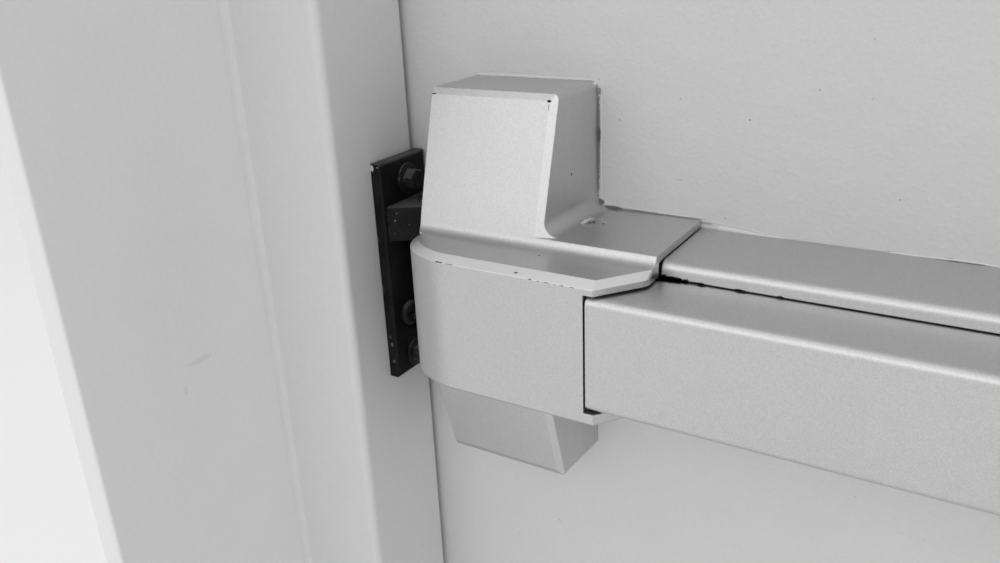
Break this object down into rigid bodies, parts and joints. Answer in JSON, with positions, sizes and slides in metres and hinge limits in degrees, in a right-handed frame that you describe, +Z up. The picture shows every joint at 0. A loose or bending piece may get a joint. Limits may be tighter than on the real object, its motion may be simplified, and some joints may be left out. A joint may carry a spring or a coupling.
{
  "type": "exit door with touch-bar panic device",
  "caption": "Painted steel exit door in its frame and reveal lining, with a rim touch-bar device that draws a sliding latch out of a roller strike.",
  "frame": {"origin": "on the floor, midway between the jambs, in the plane of the leaf's push-side face", "axes": "+X to the right as seen from the push side, towards the hinges; +Y through the leaf to the pull side, the way it opens; +Z up"},
  "size_m": [1.012, 0.2145, 2.1565],
  "materials": {
    "frame_paint": "smooth oil paint, satin",
    "lining_paint": "smooth satin paint with light scuffs",
    "leaf_paint": "rolled satin paint with a fine orange peel",
    "sealant": "painted-over sealant",
    "rubber": "moulded rubber",
    "core": "paper honeycomb",
    "strike_black": "black finish on cast steel, worn at its front corners",
    "black_screws": "black finish, partly worn",
    "cover_silver": "fine silver powder coat",
    "bar_silver": "fine silver powder coat",
    "rail_silver": "fine silver powder coat",
    "plug_black": "moulded plastic",
    "hinge_steel": "satin steel",
    "bright_steel": "turned and ground steel",
    "screw_steel": "zinc-plated steel",
    "spring_steel": "spring wire",
    "zinc_steel": "zinc-plated sheet steel"
  },
  "bodies": {
    "frame": {"strike_jamb": "frame_paint", "hinge_jamb": "frame_paint", "frame_head": "frame_paint", "frame_hinge_backers": "zinc_steel", "jamb_anchors": "zinc_steel", "floor_clips": "zinc_steel", "door_silencers": "rubber", "reveal_left": "lining_paint", "reveal_right": "lining_paint", "reveal_head": "lining_paint", "corner_bead": "sealant", "hinge_frame_screws": "screw_steel", "strike_plate": "strike_black", "strike_backer": "zinc_steel", "roller_pin": "bright_steel", "strike_screws": "black_screws", "hinge_bottom_frame_leaf": "hinge_steel", "hinge_bottom_pin": "hinge_steel", "hinge_middle_frame_leaf": "hinge_steel", "hinge_middle_pin": "hinge_steel", "hinge_top_frame_leaf": "hinge_steel", "hinge_top_pin": "hinge_steel"},
    "leaf": {"leaf_inner_skin": "leaf_paint", "leaf_outer_skin": "leaf_paint", "leaf_top_channel": "zinc_steel", "leaf_bottom_channel": "zinc_steel", "leaf_lock_channel": "zinc_steel", "leaf_hinge_channel": "zinc_steel", "leaf_hinge_backers": "zinc_steel", "device_backers": "zinc_steel", "leaf_core": "core", "hinge_leaf_screws": "screw_steel", "hinge_bottom_door_leaf": "hinge_steel", "hinge_middle_door_leaf": "hinge_steel", "hinge_top_door_leaf": "hinge_steel", "latch_chassis": "zinc_steel", "latch_cover": "cover_silver", "cover_screws": "screw_steel", "latch_spring": "spring_steel", "touch_rail": "rail_silver", "crank_bracket_left": "zinc_steel", "crank_bracket_right": "zinc_steel", "crank_pins": "bright_steel", "rod_guide": "zinc_steel", "bar_spring": "spring_steel", "end_bracket": "zinc_steel", "end_cap": "cover_silver", "device_screws": "screw_steel"},
    "roller": {"strike_roller": "bright_steel"},
    "touch_bar": {"push_bar": "bar_silver", "bar_end_plug_left": "plug_black", "bar_end_plug_right": "plug_black", "bar_lifter_left": "zinc_steel", "bar_lifter_right": "zinc_steel"},
    "crank_left": {"bell_crank_left": "zinc_steel"},
    "crank_right": {"bell_crank_right": "zinc_steel"},
    "rod": {"pull_rod": "bright_steel", "rod_collar": "bright_steel"},
    "latch": {"latch_bolt": "bright_steel", "latch_guide_pins": "bright_steel"}
  },
  "joints": [
    {"name": "door_swing", "type": "hinge", "parent": "frame", "child": "leaf", "pos_m": [0.459, 0.0535, 1.058], "axis": [0, 0, -1], "range_deg": [0, 105]},
    {"name": "roller_spin", "type": "hinge", "parent": "frame", "child": "roller", "pos_m": [-0.429, -0.014, 0.9958], "axis": [0, 0, 1], "continuous": true},
    {"name": "bar_press", "type": "slide", "parent": "leaf", "child": "touch_bar", "axis": [0, -1, 0], "range_m": [0, 0.0159], "stiffness_N_per_m": 900, "springref_m": 0.03, "deforming": ["bar_spring", "latch_spring"]},
    {"name": "crank_left_turn", "type": "hinge", "parent": "leaf", "child": "crank_left", "pos_m": [-0.188, -0.026, 1], "axis": [0, 0, -1], "range_deg": [0, 42.38]},
    {"name": "crank_right_turn", "type": "hinge", "parent": "leaf", "child": "crank_right", "pos_m": [0.212, -0.026, 1], "axis": [0, 0, -1], "range_deg": [0, 42.38]},
    {"name": "rod_slide", "type": "slide", "parent": "leaf", "child": "rod", "axis": [-1, 0, 0], "range_m": [0, 0.0188]},
    {"name": "latch_slide", "type": "slide", "parent": "leaf", "child": "latch", "axis": [-1, 0, 0], "range_m": [0, 0.0188]}
  ],
  "couplings": [
    {"joint": "crank_left_turn", "follows": "bar_press", "rad_per_m": 46.507},
    {"joint": "crank_right_turn", "follows": "bar_press", "rad_per_m": 46.507},
    {"joint": "rod_slide", "follows": "bar_press", "ratio": 1.1818},
    {"joint": "latch_slide", "follows": "bar_press", "ratio": 1.1818}
  ]
}
